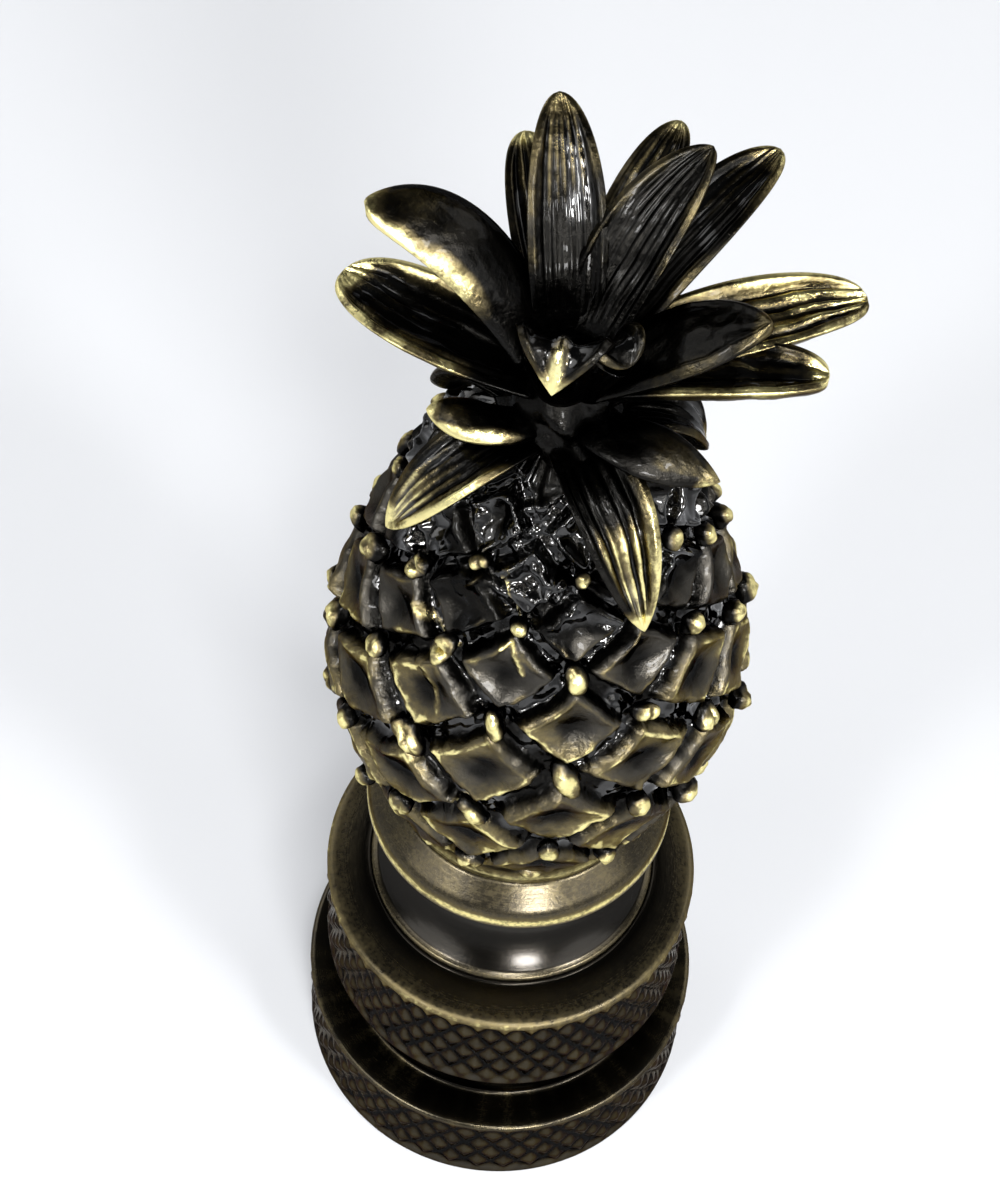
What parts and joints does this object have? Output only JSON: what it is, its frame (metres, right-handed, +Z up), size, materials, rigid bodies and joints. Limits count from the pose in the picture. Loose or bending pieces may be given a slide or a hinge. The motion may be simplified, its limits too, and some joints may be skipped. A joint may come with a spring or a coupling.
{
  "type": "lamp finial",
  "caption": "Cast metal pineapple finial with a crown of leaves on a turned, knurled base that screws down from its underside.",
  "frame": {"origin": "centre of the underside of the base", "axes": "+Z up along the turning axis, -Y towards the side the picture shows, +X to its right"},
  "size_m": [0.0229, 0.022, 0.0701],
  "materials": {
    "turned_brass": "satin antique brass, dark brown-bronze with bright worn rims and dark knurl valleys",
    "cast_brass": "antique brass, near-black lacquered recesses with pale gold worn onto tips, bumps and frames"
  },
  "bodies": {
    "root": {"knurled_base": "turned_brass", "pineapple": "cast_brass"}
  },
  "joints": []
}
